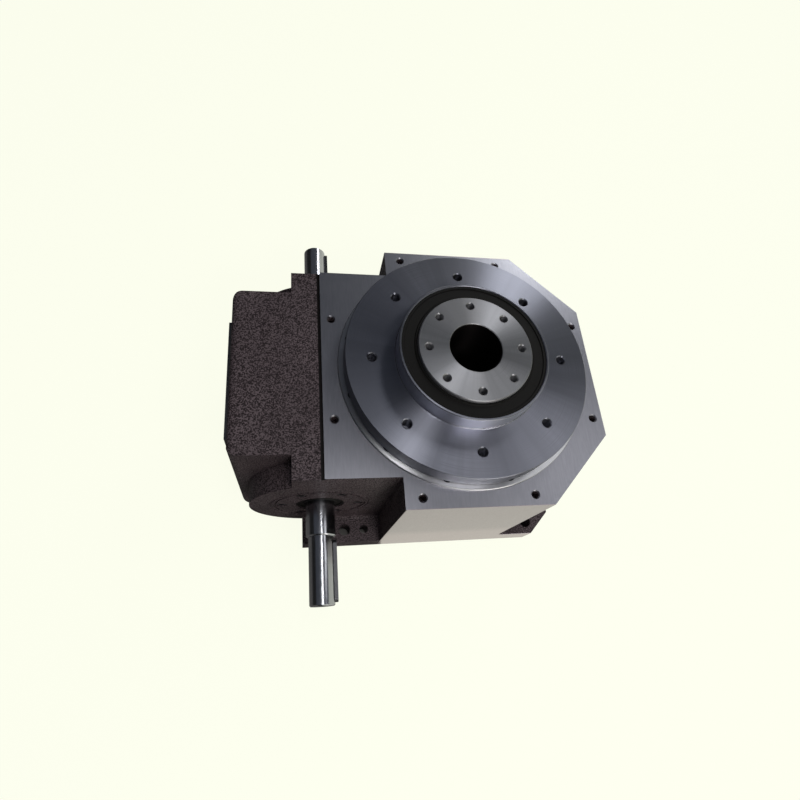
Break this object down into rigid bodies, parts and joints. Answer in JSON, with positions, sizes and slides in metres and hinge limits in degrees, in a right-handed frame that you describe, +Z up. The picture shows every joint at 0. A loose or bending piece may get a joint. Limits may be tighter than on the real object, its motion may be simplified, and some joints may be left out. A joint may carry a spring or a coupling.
{
  "type": "cam indexer",
  "caption": "Flange-table cam indexer: a keyed input shaft and globoidal cam step a roller turret and its drilled table round a fixed hollow post.",
  "frame": {"origin": "output axis at the mounting face of the foot", "axes": "+Z up along the output axis, +Y along the input shaft from its front end to its rear end, the input shaft lies at -X"},
  "size_m": [0.379, 0.42, 0.2265],
  "materials": {
    "painted_casting": "dark grey-brown hammertone paint with machined cast iron faces",
    "machined_iron": "turned",
    "ground_steel": "ground and polished",
    "dark_steel": "oil-blackened",
    "bearing_steel": "polished",
    "seal_rubber": "matte",
    "brass": "satin",
    "gasket": "matte",
    "lens": "clear"
  },
  "bodies": {
    "housing": {"housing": "painted_casting", "side_cover": "dark_steel", "side_cover_gasket": "gasket", "side_cover_screws": "dark_steel", "front_bearing_outer_ring": "bearing_steel", "rear_bearing_outer_ring": "bearing_steel", "front_bearing_cap": "painted_casting", "rear_bearing_cap": "painted_casting", "front_cap_shim": "brass", "rear_cap_shim": "brass", "front_cap_screws": "dark_steel", "rear_cap_screws": "dark_steel", "front_shaft_seal": "seal_rubber", "rear_shaft_seal": "seal_rubber", "main_bearing_outer_ring": "bearing_steel", "bearing_retainer": "machined_iron", "retainer_screws_set": "dark_steel", "table_lower_seal": "seal_rubber", "lower_bearing_inner_ring": "bearing_steel", "centre_post": "machined_iron", "post_screws": "dark_steel", "post_o_ring": "seal_rubber", "oil_filler_plug": "brass", "oil_drain_plug": "dark_steel", "sight_glass_ring": "ground_steel", "sight_glass_lens": "lens"},
    "input": {"input_shaft": "ground_steel", "front_shaft_key": "dark_steel", "rear_shaft_key": "dark_steel", "cam": "ground_steel", "cam_key": "dark_steel", "cam_locknut": "dark_steel", "front_bearing_inner_ring": "bearing_steel", "rear_bearing_inner_ring": "bearing_steel"},
    "output": {"output_table": "machined_iron", "turret": "machined_iron", "turret_screws": "dark_steel", "follower_pins": "ground_steel", "follower_grub_screws": "dark_steel", "main_bearing_inner_ring": "bearing_steel", "lower_bearing_outer_ring": "bearing_steel", "post_seal": "seal_rubber"},
    "front_roller_set": {"front_bearing_rollers": "bearing_steel"},
    "rear_roller_set": {"rear_bearing_rollers": "bearing_steel"},
    "main_roller_set": {"main_bearing_rollers": "bearing_steel"},
    "lower_ball_set": {"lower_bearing_balls": "bearing_steel", "lower_bearing_cage": "brass"},
    "follower_1": {"follower_roller_1": "bearing_steel"},
    "follower_2": {"follower_roller_2": "bearing_steel"},
    "follower_3": {"follower_roller_3": "bearing_steel"},
    "follower_4": {"follower_roller_4": "bearing_steel"},
    "follower_5": {"follower_roller_5": "bearing_steel"},
    "follower_6": {"follower_roller_6": "bearing_steel"},
    "follower_7": {"follower_roller_7": "bearing_steel"},
    "follower_8": {"follower_roller_8": "bearing_steel"}
  },
  "joints": [
    {"name": "input_spin", "type": "hinge", "parent": "housing", "child": "input", "pos_m": [-0.14, 0, 0.09], "axis": [0, 1, 0], "continuous": true},
    {"name": "output_index", "type": "hinge", "parent": "housing", "child": "output", "pos_m": [0, 0, 0.2], "axis": [0, 0, 1], "continuous": true},
    {"name": "front_rollers_turn", "type": "hinge", "parent": "housing", "child": "front_roller_set", "pos_m": [-0.14, 0, 0.09], "axis": [0, 1, 0], "continuous": true},
    {"name": "rear_rollers_turn", "type": "hinge", "parent": "housing", "child": "rear_roller_set", "pos_m": [-0.14, 0, 0.09], "axis": [0, 1, 0], "continuous": true},
    {"name": "main_rollers_turn", "type": "hinge", "parent": "housing", "child": "main_roller_set", "pos_m": [0, 0, 0.16], "axis": [0, 0, 1], "continuous": true},
    {"name": "lower_balls_turn", "type": "hinge", "parent": "housing", "child": "lower_ball_set", "pos_m": [0, 0, 0.04], "axis": [0, 0, 1], "continuous": true},
    {"name": "follower_1_spin", "type": "hinge", "parent": "output", "child": "follower_1", "pos_m": [0.08176, 0.03387, 0.09], "axis": [0.9239, 0.3827, 0], "continuous": true},
    {"name": "follower_2_spin", "type": "hinge", "parent": "output", "child": "follower_2", "pos_m": [0.03387, 0.08176, 0.09], "axis": [0.3827, 0.9239, 0], "continuous": true},
    {"name": "follower_3_spin", "type": "hinge", "parent": "output", "child": "follower_3", "pos_m": [-0.03387, 0.08176, 0.09], "axis": [-0.3827, 0.9239, 0], "continuous": true},
    {"name": "follower_4_spin", "type": "hinge", "parent": "output", "child": "follower_4", "pos_m": [-0.08176, 0.03387, 0.09], "axis": [-0.9239, 0.3827, 0], "continuous": true},
    {"name": "follower_5_spin", "type": "hinge", "parent": "output", "child": "follower_5", "pos_m": [-0.08176, -0.03387, 0.09], "axis": [-0.9239, -0.3827, 0], "continuous": true},
    {"name": "follower_6_spin", "type": "hinge", "parent": "output", "child": "follower_6", "pos_m": [-0.03387, -0.08176, 0.09], "axis": [-0.3827, -0.9239, 0], "continuous": true},
    {"name": "follower_7_spin", "type": "hinge", "parent": "output", "child": "follower_7", "pos_m": [0.03387, -0.08176, 0.09], "axis": [0.3827, -0.9239, 0], "continuous": true},
    {"name": "follower_8_spin", "type": "hinge", "parent": "output", "child": "follower_8", "pos_m": [0.08176, -0.03387, 0.09], "axis": [0.9239, -0.3827, 0], "continuous": true}
  ],
  "couplings": [
    {"joint": "output_index", "follows": "input_spin", "ratio": 0.125},
    {"joint": "front_rollers_turn", "follows": "input_spin", "ratio": 0.428},
    {"joint": "rear_rollers_turn", "follows": "input_spin", "ratio": 0.428},
    {"joint": "main_rollers_turn", "follows": "input_spin", "ratio": 0.0598},
    {"joint": "lower_balls_turn", "follows": "input_spin", "ratio": 0.0678}
  ]
}
